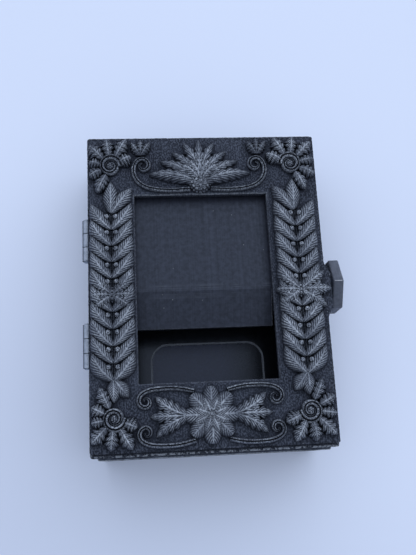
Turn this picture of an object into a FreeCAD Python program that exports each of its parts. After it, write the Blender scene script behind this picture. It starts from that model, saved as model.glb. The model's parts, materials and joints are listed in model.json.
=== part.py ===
import FreeCAD, Part
import math
import os

from FreeCAD import Vector

# Deck box with a card window in its hinged lid and a drawer that pulls out of its right side.
# X runs towards the drawer pull, Y along the box, Z up. The origin is the middle of the base.
# All lengths are in millimetres.

# Sleeved cards that the box is sized for
card_length = 91.0
card_width = 66.0
card_play = 1.5
card_lip_side = 1.5
card_lip_end = 1.2

# Lid
lid_width = 110.0
lid_length = 150.8
frame_thick = 3.2
face_thick = 3.0
face_setback = 1.65
reveal_groove = 0.8
window_shift = -1.6
window_chamfer = 0.6
corner_round = 1.0
tab_reach = 2.6
tab_length = 26.0
tab_slope = 5.5
tab_shift = -4.0

# Card panel behind the window
panel_thick = 2.4
panel_side_margin = 7.75
panel_end_margin = 8.0
panel_flat_end = -1.2
ramp_run = 16.7
ramp_drop = 6.0
ramp_side_inset = 1.65

# Case
lid_overhang = 3.0
case_ledge = 1.0
case_height = 41.5
case_wall = 4.0
case_floor = 3.0
lid_gap = 0.3
base_chamfer = 0.8

# Drawer
drawer_travel = 72.0
drawer_play = 0.4
opening_play = 0.5
tray_wall = 2.4
tray_front_wall = 4.0
tray_floor = 3.0
deck_rim_drop = 5.0
deck_edge = -1.5
low_rim_drop = 8.0
bay_floor = 5.0
bay_round = 4.0
recess_depth = 1.6
recess_width = 55.3
recess_length = 36.0
recess_shift = 1.0
recess_edge = -21.5
recess_round = 8.0
recess_chamfer = 0.8
front_thick = 2.6
front_gap = 0.2
front_overlap = 1.5

# Runners and stop pin
runner_width = 8.0
runner_thick = 1.0
runner_inset = 18.0
runner_end_gap = 3.0
runner_play = 0.2
stop_radius = 2.0
stop_play = 0.3
stop_rise = 1.4
stop_inset = 7.0
stop_slot_depth = 1.8

# Drawer pull
knob_radius = 14.0
knob_head = 5.3
knob_neck = 6.5
knob_neck_radius = 5.0
knob_chamfer = 0.5
knob_side = 2.4
knob_drop = 16.8
knob_screw_radius = 1.5
knob_screw_head_radius = 2.7
knob_screw_head = 1.5
knob_screw_bite = 7.5
washer_radius = 3.4
washer_thick = 0.6
counterbore_depth = 2.4
counterbore_play = 0.3

# Screws and dowels that hold the drawer front
front_screw_radius = 1.2
front_screw_head_radius = 2.4
front_screw_head = 1.6
front_screw_bite = 2.0
front_screw_height = 15.0
front_screw_margin = 16.0
dowel_radius = 2.0
dowel_depth = 3.0
dowel_bite = 1.8
dowel_height = 16.0
dowel_margin = 12.0

# Magnets
lid_magnet_radius = 1.2
lid_magnet_length = 2.5
drawer_magnet_radius = 3.0
drawer_magnet_length = 2.0
drawer_magnet_side = -36.0
drawer_magnet_height = 16.0

# Hinges
hinge_spacing = 50.0
hinge_shift = -0.75
hinge_offset = 0.8
hinge_rise = 0.1
knuckle_radius = 2.2
knuckle_length = 6.4
knuckle_gap = 0.3
pin_radius = 1.0
pin_head_radius = 1.5
pin_head = 0.5
leaf_thick = 1.0
leaf_reach = 10.0
leaf_play = 0.3
hinge_screw_radius = 0.9
hinge_screw_head_radius = 1.8
hinge_screw_head = 0.9
hinge_screw_bite = 2.0
hinge_screw_spacing = 12.0
hinge_screw_place = 6.6

# Screws of the card panel
panel_screw_radius = 1.2
panel_screw_head_radius = 2.2
panel_screw_head = 1.3
panel_screw_bite = 2.2
panel_screw_inset = 3.6

# Relief on the face plate
relief_edge_gap = 1.0
leaf_height = 4.6
stem_radius = 1.6
scroll_radius = 5.4
scroll_step = 1.7
scroll_eye_radius = 2.4
scroll_leaf_reach = 15.5
scroll_leaf_width = 8.0
garland_end_gap = 0.6
garland_leaf_length = 16.0
garland_leaf_width = 8.2
knot_leaf_width = 7.6
knot_boss_radius = 3.8
crest_leaf_length = 22.0
crest_leaf_width = 8.2
crest_boss_radius = 4.6
crest_drop = 9.1
rosette_petal_length = 12.5
rosette_petal_width = 9.0
rosette_boss_radius = 5.0
spray_leaf_length = 16.5
spray_leaf_width = 8.2
spray_start = 10.5

# Counts, angles and shares
knob_sides = 6
scroll_half_turns = 3
scroll_leaf_angles = (-65.0, -28.0, 9.0, 46.0, 83.0, 120.0, 157.0)
scroll_leaf_root_share = 0.86
garland_pairs = 10
garland_leaf_angle = 36.0
knot_leaf_angles = (-36.0, 0.0, 36.0)
crest_leaf_angles = (-80.0, -60.0, -40.0, -20.0, 0.0, 20.0, 40.0, 60.0, 80.0)
crest_leaf_length_shares = (1.12, 0.98, 0.92, 0.98, 1.0, 0.98, 0.92, 0.98, 1.12)
rosette_petals = 8
spray_angles = (-32.0, 0.0, 32.0)
leaf_outline_shares = ((0.0, 0.18), (0.3, 0.46), (0.62, 0.42), (1.0, 0.0))
leaf_ridge_shares = ((0.0, 0.45), (0.46, 1.0), (0.82, 0.72))

# Clearances that many pieces share
fit_play = 0.05
overrun = 1.0

# Places worked out from the sizes above
case_width = lid_width - 2 * lid_overhang
case_length = lid_length + 2 * case_ledge
half_lid_x = lid_width / 2
half_lid_y = lid_length / 2
half_face_y = half_lid_y - face_setback
half_case_x = case_width / 2
half_case_y = case_length / 2
inner_x = half_case_x - case_wall
inner_y = half_case_y - case_wall
lid_z = case_height + lid_gap
face_z = lid_z + frame_thick
top_z = face_z + face_thick

window_width = card_width - 2 * card_lip_side
window_length = card_length - 2 * card_lip_end
window_left = window_shift - window_width / 2
window_right = window_shift + window_width / 2
half_window_y = window_length / 2
slot_half_x = (card_width + card_play) / 2
slot_half_y = card_length / 2 + card_play

tray_z = case_floor + runner_thick + runner_play
tray_back = -inner_x + drawer_play
tray_front = half_case_x + front_gap
tray_side = inner_y - drawer_play
deck_floor_z = tray_z + tray_floor
deck_rim_z = case_height - deck_rim_drop
bay_floor_z = tray_z + bay_floor
low_rim_z = deck_rim_z - low_rim_drop
knob_height = case_height - knob_drop
divider_edge = deck_edge - tray_wall
front_face = tray_front + front_thick
neck_end = front_face + knob_neck
seat_x = tray_front - tray_front_wall + counterbore_depth

hinge_x = -(half_lid_x + hinge_offset)
hinge_z = case_height + hinge_rise
hinge_length = 3 * knuckle_length + 2 * knuckle_gap
hinge_centres = {
    "upper": hinge_shift + hinge_spacing / 2,
    "lower": hinge_shift - hinge_spacing / 2,
}
notch_x = hinge_x + knuckle_radius + leaf_play

left_margin_x = (window_left - half_lid_x) / 2
right_margin_x = (window_right + half_lid_x) / 2
end_margin_y = (half_window_y + half_face_y) / 2


# Basic solids

def block(x0, x1, y0, y1, z0, z1):
    return Part.makeBox(x1 - x0, y1 - y0, z1 - z0, Vector(x0, y0, z0))


def rounded_block(x0, x1, y0, y1, z0, z1, radius):
    solid = block(x0, x1, y0, y1, z0, z1)
    upright = [edge for edge in solid.Edges if is_upright(edge)]
    return solid.makeFillet(radius, upright)


def is_upright(edge):
    start, end = (vertex.Point for vertex in edge.Vertexes)
    return abs(start.x - end.x) + abs(start.y - end.y) < abs(start.z - end.z)


def rod(radius, length, start, axis):
    return Part.makeCylinder(radius, length, start, axis)


def along_x(radius, x0, x1, y, z):
    return rod(radius, x1 - x0, Vector(x0, y, z), Vector(1, 0, 0))


def along_y(radius, x, y0, y1, z):
    return rod(radius, y1 - y0, Vector(x, y0, z), Vector(0, 1, 0))


def along_z(radius, x, y, z0, z1):
    return rod(radius, z1 - z0, Vector(x, y, z0), Vector(0, 0, 1))


def joined(solids):
    first, rest = solids[0], solids[1:]
    whole = first.multiFuse(rest) if rest else first
    return whole.removeSplitter()


def write(name, shape):
    shape.exportStep("parts/" + name + ".step")


# Lid

def panel_screw_places():
    side = slot_half_x + panel_side_margin - panel_screw_inset
    ends = (slot_half_y + panel_end_margin - panel_screw_inset, panel_flat_end + panel_screw_inset)
    return [(window_shift + sign * side, end) for sign in (-1, 1) for end in ends]


def lid_magnet_places():
    x = half_case_x - case_wall / 2
    y = (inner_y + half_lid_y) / 2
    return [(x, -y), (x, y)]


def hinge_screw_offsets():
    return (-hinge_screw_spacing / 2, hinge_screw_spacing / 2)


def make_lid_frame():
    frame = rounded_block(-half_lid_x, half_lid_x, -half_lid_y, half_lid_y, lid_z, face_z, corner_round)
    cuts = [block(window_shift - slot_half_x, window_shift + slot_half_x, -slot_half_y, slot_half_y,
                  lid_z - overrun, face_z + overrun)]
    half = hinge_length / 2 + pin_head + leaf_play
    for centre in hinge_centres.values():
        cuts.append(block(-half_lid_x - overrun, notch_x, centre - half, centre + half,
                          lid_z - overrun, face_z + overrun))
        cuts.append(block(-half_lid_x - overrun, hinge_x + leaf_reach + leaf_play,
                          centre - half, centre + half, lid_z - overrun, lid_z + leaf_thick))
        for offset in hinge_screw_offsets():
            cuts.append(along_z(hinge_screw_radius + fit_play, hinge_x + hinge_screw_place, centre + offset,
                                lid_z, lid_z + hinge_screw_head + hinge_screw_bite))
    for x, y in panel_screw_places():
        cuts.append(along_z(panel_screw_radius + fit_play, x, y, lid_z - overrun, lid_z + panel_screw_bite))
    for x, y in lid_magnet_places():
        cuts.append(along_z(lid_magnet_radius + fit_play, x, y, lid_z - overrun, lid_z + lid_magnet_length))
    return frame.cut(Part.makeCompound(cuts))


def make_face_plate():
    groove_top = face_z + reveal_groove
    upper = rounded_block(-half_lid_x, half_lid_x, -half_face_y, half_face_y, groove_top, top_z, corner_round)
    lower = block(-half_lid_x + reveal_groove, half_lid_x - reveal_groove,
                  -half_face_y + reveal_groove, half_face_y - reveal_groove, face_z, groove_top)
    window = block(window_left, window_right, -half_window_y, half_window_y,
                   face_z - overrun, top_z + overrun)
    plate = joined([upper, lower, finger_tab(groove_top)]).cut(window)
    rim = [edge for edge in plate.Edges if is_window_rim(edge)]
    return plate.makeChamfer(window_chamfer, rim)


def finger_tab(groove_top):
    half = tab_length / 2
    root = half_lid_x - corner_round
    outer = half_lid_x + tab_reach
    outline = [(root, -half), (half_lid_x, -half), (outer, tab_slope - half),
               (outer, half - tab_slope), (half_lid_x, half), (root, half)]
    face = polygon_face([Vector(x, tab_shift + y, groove_top) for x, y in outline])
    return face.extrude(Vector(0, 0, top_z - groove_top))


def is_window_rim(edge):
    box = edge.BoundBox
    room_x = half_lid_x - reveal_groove
    room_y = half_face_y - reveal_groove
    on_top = abs(box.ZMin - top_z) < fit_play
    inside_x = box.XMin > -room_x and box.XMax < room_x
    inside_y = box.YMin > -room_y and box.YMax < room_y
    return on_top and inside_x and inside_y


def make_card_panel():
    half = slot_half_x + panel_side_margin
    end = slot_half_y + panel_end_margin
    flat = block(window_shift - half, window_shift + half, panel_flat_end, end, lid_z - panel_thick, lid_z)
    ramp_half = slot_half_x - ramp_side_inset
    ramp_end = panel_flat_end - ramp_run
    ramp_z = lid_z - ramp_drop
    profile = [(panel_flat_end, lid_z), (ramp_end, ramp_z), (ramp_end, ramp_z - panel_thick),
               (panel_flat_end, lid_z - panel_thick)]
    points = [Vector(window_shift - ramp_half, y, z) for y, z in profile]
    ramp = Part.Face(Part.makePolygon(points + points[:1])).extrude(Vector(2 * ramp_half, 0, 0))
    panel = joined([flat, ramp])
    for x, y in panel_screw_places():
        panel = panel.cut(along_z(panel_screw_radius + fit_play, x, y, lid_z - panel_thick - overrun,
                                  lid_z + overrun))
    return panel


def make_panel_screws():
    screws = []
    under = lid_z - panel_thick
    for x, y in panel_screw_places():
        head = along_z(panel_screw_head_radius, x, y, under - panel_screw_head, under)
        shank = along_z(panel_screw_radius, x, y, under - panel_screw_head / 2, lid_z + panel_screw_bite)
        screws.append(joined([head, shank]))
    return Part.makeCompound(screws)


def make_lid_magnets():
    return Part.makeCompound([along_z(lid_magnet_radius, x, y, lid_z, lid_z + lid_magnet_length)
                              for x, y in lid_magnet_places()])


# Hinges

def knuckle_span(centre, index):
    start = centre - hinge_length / 2 + index * (knuckle_length + knuckle_gap)
    return start, start + knuckle_length


def knuckle(centre, index):
    y0, y1 = knuckle_span(centre, index)
    return along_y(knuckle_radius, hinge_x, y0, y1, hinge_z)


def pin_bore(centre):
    half = hinge_length / 2 + overrun
    return along_y(pin_radius + fit_play, hinge_x, centre - half, centre + half, hinge_z)


def make_case_leaf(centre):
    half = hinge_length / 2
    plate_x = -half_case_x - leaf_thick
    low = hinge_z - leaf_reach
    pieces = [block(plate_x, -half_case_x, centre - half, centre + half, low, case_height)]
    for index in (0, 2):
        y0, y1 = knuckle_span(centre, index)
        pieces.append(knuckle(centre, index))
        pieces.append(block(hinge_x, -half_case_x, y0, y1, hinge_z - knuckle_radius,
                            hinge_z - knuckle_radius + leaf_thick))
    leaf = joined(pieces).cut(pin_bore(centre))
    for offset in hinge_screw_offsets():
        leaf = leaf.cut(case_hinge_screw(centre + offset, fit_play))
    return leaf


def case_hinge_screw(y, play):
    z = hinge_z - hinge_screw_place
    face = -half_case_x - leaf_thick
    head = Part.makeCone(hinge_screw_head_radius + play, hinge_screw_radius + play, hinge_screw_head,
                         Vector(face, y, z), Vector(1, 0, 0))
    shank = along_x(hinge_screw_radius + play, face + hinge_screw_head / 2,
                    face + hinge_screw_head + hinge_screw_bite, y, z)
    return joined([head, shank])


def make_lid_leaf(centre):
    half = hinge_length / 2
    y0, y1 = knuckle_span(centre, 1)
    plate = block(notch_x, hinge_x + leaf_reach, centre - half, centre + half, lid_z, lid_z + leaf_thick)
    neck = block(hinge_x, notch_x, y0, y1, lid_z, lid_z + leaf_thick)
    leaf = joined([plate, neck, knuckle(centre, 1)]).cut(pin_bore(centre))
    for offset in hinge_screw_offsets():
        leaf = leaf.cut(lid_hinge_screw(centre + offset, fit_play))
    return leaf


def lid_hinge_screw(y, play):
    x = hinge_x + hinge_screw_place
    head = Part.makeCone(hinge_screw_head_radius + play, hinge_screw_radius + play, hinge_screw_head,
                         Vector(x, y, lid_z), Vector(0, 0, 1))
    shank = along_z(hinge_screw_radius + play, x, y, lid_z + hinge_screw_head / 2,
                    lid_z + hinge_screw_head + hinge_screw_bite)
    return joined([head, shank])


def make_hinge_pin(centre):
    half = hinge_length / 2
    shaft = along_y(pin_radius, hinge_x, centre - half - pin_head, centre + half + pin_head, hinge_z)
    upper = along_y(pin_head_radius, hinge_x, centre + half, centre + half + pin_head, hinge_z)
    lower = along_y(pin_head_radius, hinge_x, centre - half - pin_head, centre - half, hinge_z)
    return joined([shaft, upper, lower])


def make_hinge_screws(screw):
    return Part.makeCompound([screw(centre + offset, 0) for centre in hinge_centres.values()
                              for offset in hinge_screw_offsets()])


# Case

def stop_pin_x():
    return inner_x - stop_inset


def runner_sides():
    return (-inner_y + runner_inset, inner_y - runner_inset)


def make_case_shell():
    shell = rounded_block(-half_case_x, half_case_x, -half_case_y, half_case_y, 0, case_height, corner_round)
    under = [edge for edge in shell.Edges if edge.BoundBox.ZMax < fit_play]
    shell = shell.makeChamfer(base_chamfer, under)
    cuts = [block(-inner_x, inner_x, -inner_y, inner_y, case_floor, case_height + overrun)]
    cuts.append(block(inner_x - overrun, half_case_x + overrun, -inner_y, inner_y,
                      case_floor, low_rim_z + opening_play))
    cuts.append(block(inner_x - overrun, half_case_x + overrun, divider_edge - opening_play, inner_y,
                      case_floor, deck_rim_z + opening_play))
    for x, y in lid_magnet_places():
        cuts.append(along_z(lid_magnet_radius + fit_play, x, y, case_height - lid_magnet_length,
                            case_height + overrun))
    for centre in hinge_centres.values():
        for offset in hinge_screw_offsets():
            cuts.append(case_hinge_screw(centre + offset, fit_play))
    cuts.append(along_z(stop_radius + fit_play, stop_pin_x(), deck_edge, base_chamfer, case_floor + overrun))
    cuts.append(along_x(drawer_magnet_radius + fit_play, -inner_x - drawer_magnet_length, -inner_x + overrun,
                        drawer_magnet_side, drawer_magnet_height))
    return shell.cut(Part.makeCompound(cuts))


def make_case_magnets():
    return Part.makeCompound([along_z(lid_magnet_radius, x, y, case_height - lid_magnet_length, case_height)
                              for x, y in lid_magnet_places()])


def make_runners():
    half = runner_width / 2
    return Part.makeCompound([block(-inner_x + runner_end_gap, inner_x - runner_end_gap, y - half, y + half,
                                    case_floor, case_floor + runner_thick) for y in runner_sides()])


def make_stop_pin():
    return along_z(stop_radius, stop_pin_x(), deck_edge, base_chamfer, tray_z + stop_rise)


# Drawer

def front_screw_sides():
    return (knob_side + front_screw_margin, tray_side - front_screw_margin)


def dowel_sides():
    return (-tray_side + dowel_margin, divider_edge - dowel_margin)


def bored_x(shape, radius, x0, x1, y, z):
    return shape.cut(along_x(radius, x0, x1, y, z))


def make_drawer_tray():
    low = block(tray_back, tray_front, -tray_side, deck_edge, tray_z, low_rim_z)
    tall = block(tray_back, tray_front, divider_edge, tray_side, tray_z, deck_rim_z)
    tray = joined([low, tall])
    deck = block(tray_back + tray_wall, tray_front - tray_front_wall, deck_edge, tray_side - tray_wall,
                 deck_floor_z, deck_rim_z + overrun)
    slot_half = stop_radius + stop_play
    slot_start = stop_pin_x() - drawer_travel - slot_half
    slot = block(slot_start, stop_pin_x() + slot_half, deck_edge - slot_half, deck_edge + slot_half,
                 tray_z - overrun, tray_z + stop_slot_depth)
    tray = tray.cut(Part.makeCompound([deck, slot]))
    bay = rounded_block(tray_back + tray_wall, tray_front - tray_front_wall, tray_wall - tray_side,
                        divider_edge, bay_floor_z, low_rim_z + overrun, bay_round)
    tray = tray.cut(bay)
    tray = tray.cut(dice_recess())
    start = tray_front - tray_front_wall - overrun
    end = tray_front + overrun
    tray = bored_x(tray, knob_screw_radius + fit_play, start, end, knob_side, knob_height)
    tray = bored_x(tray, washer_radius + counterbore_play, start, seat_x, knob_side, knob_height)
    for y in front_screw_sides():
        tray = bored_x(tray, front_screw_radius + fit_play, start, end, y, front_screw_height)
        tray = bored_x(tray, front_screw_head_radius + counterbore_play, start, seat_x, y, front_screw_height)
    for y in dowel_sides():
        tray = bored_x(tray, dowel_radius + fit_play, tray_front - dowel_depth, end, y, dowel_height)
    return bored_x(tray, drawer_magnet_radius + fit_play, tray_back - overrun,
                   tray_back + drawer_magnet_length, drawer_magnet_side, drawer_magnet_height)


def dice_recess():
    half = recess_width / 2
    left = recess_shift - half
    right = recess_shift + half
    near = recess_edge - recess_length
    pocket = rounded_block(left, right, near, recess_edge, bay_floor_z - recess_depth, bay_floor_z,
                           recess_round)
    grown = recess_round + recess_chamfer
    mouth = rounded_block(left - recess_chamfer, right + recess_chamfer, near - recess_chamfer,
                          recess_edge + recess_chamfer, bay_floor_z - recess_chamfer, bay_floor_z, grown)
    under = [edge for edge in mouth.Edges if edge.BoundBox.ZMax < bay_floor_z - fit_play]
    return joined([pocket, mouth.makeChamfer(recess_chamfer - fit_play, under)])


def make_drawer_front():
    side = inner_y + front_overlap
    start = tray_front - overrun
    plate = rounded_x_block(tray_front, front_face, -side, side, case_floor, deck_rim_z + front_overlap,
                            corner_round)
    plate = bored_x(plate, knob_screw_radius + fit_play, start, front_face + overrun, knob_side, knob_height)
    for y in front_screw_sides():
        plate = bored_x(plate, front_screw_radius + fit_play, start, tray_front + front_screw_bite, y,
                        front_screw_height)
    for y in dowel_sides():
        plate = bored_x(plate, dowel_radius + fit_play, start, tray_front + dowel_bite, y, dowel_height)
    return plate


def rounded_x_block(x0, x1, y0, y1, z0, z1, radius):
    solid = block(x0, x1, y0, y1, z0, z1)
    lengthwise = [edge for edge in solid.Edges if is_lengthwise(edge.BoundBox)]
    return solid.makeFillet(radius, lengthwise)


def is_lengthwise(box):
    return box.XLength > box.YLength + box.ZLength


def make_front_screws():
    screws = []
    for y in front_screw_sides():
        head = along_x(front_screw_head_radius, seat_x - front_screw_head, seat_x, y, front_screw_height)
        shank = along_x(front_screw_radius, seat_x - front_screw_head / 2, tray_front + front_screw_bite, y,
                        front_screw_height)
        screws.append(joined([head, shank]))
    return Part.makeCompound(screws)


def make_front_dowels():
    start = tray_front - dowel_depth
    end = tray_front + dowel_bite
    return Part.makeCompound([along_x(dowel_radius, start, end, y, dowel_height) for y in dowel_sides()])


def make_drawer_magnet():
    return along_x(drawer_magnet_radius, tray_back, tray_back + drawer_magnet_length,
                   drawer_magnet_side, drawer_magnet_height)


def make_case_drawer_magnet():
    return along_x(drawer_magnet_radius, -inner_x - drawer_magnet_length, -inner_x,
                   drawer_magnet_side, drawer_magnet_height)


def make_knob():
    turns = [math.radians(360 * index / knob_sides) for index in range(knob_sides)]
    corners = [Vector(neck_end, knob_side + knob_radius * math.sin(turn),
                      knob_height + knob_radius * math.cos(turn)) for turn in turns]
    head = Part.Face(Part.makePolygon(corners + corners[:1])).extrude(Vector(knob_head, 0, 0))
    rims = [edge for edge in head.Edges if edge.BoundBox.XLength < fit_play]
    head = head.makeChamfer(knob_chamfer, rims)
    neck = along_x(knob_neck_radius, front_face, neck_end + knob_head / 2, knob_side, knob_height)
    return bored_x(joined([head, neck]), knob_screw_radius + fit_play, front_face - overrun,
                   front_face + knob_screw_bite, knob_side, knob_height)


def make_knob_screw():
    under_head = seat_x - washer_thick
    head = along_x(knob_screw_head_radius, under_head - knob_screw_head, under_head, knob_side, knob_height)
    shank = along_x(knob_screw_radius, under_head - knob_screw_head / 2, front_face + knob_screw_bite,
                    knob_side, knob_height)
    return joined([head, shank])


def make_knob_washer():
    disc = along_x(washer_radius, seat_x - washer_thick, seat_x, knob_side, knob_height)
    return bored_x(disc, knob_screw_radius + fit_play, seat_x - washer_thick - overrun, seat_x + overrun,
                   knob_side, knob_height)


# Relief: leaves with a ridge along the middle, half-round stems and domed bosses, all flat on the face plate

def flat_direction(angle):
    turn = math.radians(angle)
    return Vector(math.cos(turn), math.sin(turn), 0)


def leaf(root_x, root_y, angle, length, width, height):
    ahead = flat_direction(angle)
    aside = flat_direction(angle + 90)
    root = Vector(root_x, root_y, top_z)
    left = [root + ahead * (length * u) + aside * (width * v) for u, v in leaf_outline_shares]
    right = [root + ahead * (length * u) - aside * (width * v) for u, v in leaf_outline_shares]
    ridge = [root + ahead * (length * u) + Vector(0, 0, height * h) for u, h in leaf_ridge_shares]
    faces = [polygon_face(left + right[-2::-1])]
    faces.append(polygon_face([left[0], ridge[0], right[0]]))
    for side in (left, right):
        faces.extend(leaf_flank(side, ridge))
    return Part.makeSolid(Part.makeShell(faces))


def leaf_flank(side, ridge):
    root, shoulder, waist, tip = side
    low, crown, end = ridge
    corners = [(root, shoulder, low), (shoulder, crown, low), (shoulder, waist, crown), (waist, end, crown),
               (waist, tip, end)]
    return [polygon_face(list(triangle)) for triangle in corners]


def polygon_face(points):
    return Part.Face(Part.makePolygon(points + points[:1]))


def boss(x, y, radius):
    return Part.makeSphere(radius, Vector(x, y, top_z), Vector(0, 0, 1), 0, 90, 360)


def half_round(radius, centre, outward):
    top = Vector(0, 0, radius)
    arc = Part.Arc(centre - outward * radius, centre + top, centre + outward * radius).toShape()
    base = Part.LineSegment(centre + outward * radius, centre - outward * radius).toShape()
    return Part.Face(Part.Wire([arc, base]))


def scroll(centre_x, centre_y, start_angle, turn_sign):
    bands = []
    centre = Vector(centre_x, centre_y, top_z)
    outward = flat_direction(start_angle)
    radius = scroll_radius
    for _ in range(scroll_half_turns):
        profile = half_round(stem_radius, centre + outward * radius, outward)
        bands.append(profile.revolve(centre, Vector(0, 0, turn_sign), 180))
        centre = centre - outward * scroll_step
        radius = radius - scroll_step
        outward = outward * -1
    return bands, centre


def solid_relief(pieces):
    whole = joined(pieces)
    if len(whole.Solids) == 1:
        return whole.Solids[0]
    return Part.makeCompound(whole.Solids)


def make_corner_scroll(sign_x, sign_y):
    x = right_margin_x if sign_x > 0 else left_margin_x
    y = sign_y * end_margin_y
    start = 180 if sign_x > 0 else 0
    bands, eye = scroll(x, y, start, -sign_x * sign_y)
    pieces = bands + [boss(eye.x, eye.y, scroll_eye_radius)]
    room_x = half_lid_x - relief_edge_gap - abs(x)
    room_y = half_face_y - relief_edge_gap - abs(y)
    root = scroll_radius * scroll_leaf_root_share
    for angle in scroll_leaf_angles:
        ahead = flat_direction(angle)
        reach = min(scroll_leaf_reach, room_x / abs(ahead.x), room_y / abs(ahead.y))
        facing = math.degrees(math.atan2(sign_y * ahead.y, sign_x * ahead.x))
        pieces.append(leaf(x + sign_x * ahead.x * root, y + sign_y * ahead.y * root, facing, reach - root,
                           scroll_leaf_width, leaf_height))
    return solid_relief(pieces)


def make_garland(x):
    end = end_margin_y - scroll_leaf_reach - garland_end_gap
    room = 2 * end - garland_leaf_length
    profile = half_round(stem_radius, Vector(x, -end, top_z), Vector(1, 0, 0))
    pieces = [profile.extrude(Vector(0, room + garland_leaf_length / 2, 0))]
    for index in range(garland_pairs):
        y = -end + room * index / (garland_pairs - 1)
        for sign in (-1, 1):
            pieces.append(leaf(x, y, 90 + sign * garland_leaf_angle, garland_leaf_length, garland_leaf_width,
                               leaf_height))
    return solid_relief(pieces + garland_knot(x))


def garland_knot(x):
    outer = half_lid_x + tab_reach if x > 0 else -half_lid_x
    inner = window_right if x > 0 else window_left
    pieces = [boss(x, tab_shift, knot_boss_radius)]
    for end in (outer, inner):
        facing = 0 if end > x else 180
        for angle in knot_leaf_angles:
            pieces.append(leaf(x, tab_shift, facing + angle, abs(end - x) - relief_edge_gap, knot_leaf_width,
                               leaf_height))
    return pieces


def spray(x, y, sign):
    pieces = []
    for angle in spray_angles:
        facing = angle if sign > 0 else 180 - angle
        pieces.append(leaf(x + sign * spray_start, y, facing, spray_leaf_length, spray_leaf_width,
                           leaf_height))
    return pieces


def make_crest():
    x = window_shift
    y = end_margin_y - crest_drop
    pieces = [boss(x, y, crest_boss_radius)]
    for angle, share in zip(crest_leaf_angles, crest_leaf_length_shares):
        pieces.append(leaf(x, y, 90 - angle, crest_leaf_length * share, crest_leaf_width, leaf_height))
    return solid_relief(pieces)


def make_rosette():
    x = window_shift
    y = -end_margin_y
    pieces = [boss(x, y, rosette_boss_radius)]
    for index in range(rosette_petals):
        angle = 360 * index / rosette_petals
        pieces.append(leaf(x, y, angle, rosette_petal_length, rosette_petal_width, leaf_height))
    for sign in (-1, 1):
        pieces.extend(spray(x, y, sign))
    return solid_relief(pieces)


def main():
    os.makedirs("parts", exist_ok=True)
    write("case_shell", make_case_shell())
    write("case_magnets", make_case_magnets())
    write("drawer_runners", make_runners())
    write("drawer_stop_pin", make_stop_pin())
    write("case_drawer_magnet", make_case_drawer_magnet())
    write("lid_frame", make_lid_frame())
    write("face_plate", make_face_plate())
    write("card_panel", make_card_panel())
    write("panel_screws", make_panel_screws())
    write("lid_magnets", make_lid_magnets())
    for name, centre in hinge_centres.items():
        write(name + "_hinge_case_leaf", make_case_leaf(centre))
        write(name + "_hinge_lid_leaf", make_lid_leaf(centre))
        write(name + "_hinge_pin", make_hinge_pin(centre))
    write("hinge_case_screws", make_hinge_screws(case_hinge_screw))
    write("hinge_lid_screws", make_hinge_screws(lid_hinge_screw))
    write("drawer_tray", make_drawer_tray())
    write("drawer_front", make_drawer_front())
    write("drawer_front_screws", make_front_screws())
    write("drawer_front_dowels", make_front_dowels())
    write("drawer_magnet", make_drawer_magnet())
    write("drawer_knob", make_knob())
    write("knob_screw", make_knob_screw())
    write("knob_washer", make_knob_washer())
    write("crest_top", make_crest())
    write("rosette_bottom", make_rosette())
    write("garland_left", make_garland(left_margin_x))
    write("garland_right", make_garland(right_margin_x))
    for side, sign_x in (("left", -1), ("right", 1)):
        for end, sign_y in (("bottom", -1), ("top", 1)):
            write("corner_scroll_" + end + "_" + side, make_corner_scroll(sign_x, sign_y))


main()
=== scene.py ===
import json
import math

import bpy
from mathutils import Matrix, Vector


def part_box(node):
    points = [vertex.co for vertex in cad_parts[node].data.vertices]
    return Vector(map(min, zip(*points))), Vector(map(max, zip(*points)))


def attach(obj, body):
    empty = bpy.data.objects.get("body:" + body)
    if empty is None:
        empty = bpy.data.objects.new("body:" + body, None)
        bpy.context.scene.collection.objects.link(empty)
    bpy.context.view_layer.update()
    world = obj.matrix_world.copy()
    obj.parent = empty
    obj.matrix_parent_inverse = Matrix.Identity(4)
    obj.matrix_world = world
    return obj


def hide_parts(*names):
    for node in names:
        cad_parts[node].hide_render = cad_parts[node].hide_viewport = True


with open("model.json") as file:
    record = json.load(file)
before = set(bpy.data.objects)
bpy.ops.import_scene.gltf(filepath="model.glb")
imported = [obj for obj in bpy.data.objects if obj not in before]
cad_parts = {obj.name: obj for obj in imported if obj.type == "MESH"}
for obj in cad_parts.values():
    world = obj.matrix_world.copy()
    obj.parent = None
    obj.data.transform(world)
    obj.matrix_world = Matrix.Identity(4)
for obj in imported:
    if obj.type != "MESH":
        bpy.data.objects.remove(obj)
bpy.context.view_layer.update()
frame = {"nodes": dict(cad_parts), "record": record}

# Looks of the deck box: charcoal plastic with rubbed silver, painted highlights and painted shade, a leaf
# relief on the lid, and the studio around it.
# Lengths are in metres, written as millimetres times mm.
mm = 0.001

# The photograph's frame and the camera that took it
photo_long_side_px = 555
focal_length_px = 700
sensor_long_side = 36.0
camera_place = Vector((-27.9, -77.8, 360.0)) * mm
camera_turn_deg = (14.76, -4.34, -2.89)
camera_near = 0.01

# Places of the pieces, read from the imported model
plate_low, plate_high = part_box("face_plate")
lid_low, lid_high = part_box("lid_frame")
case_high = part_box("case_shell")[1]
hinge_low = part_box("upper_hinge_case_leaf")[0]
knob_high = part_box("drawer_knob")[1]
face_top = plate_high.z

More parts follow.
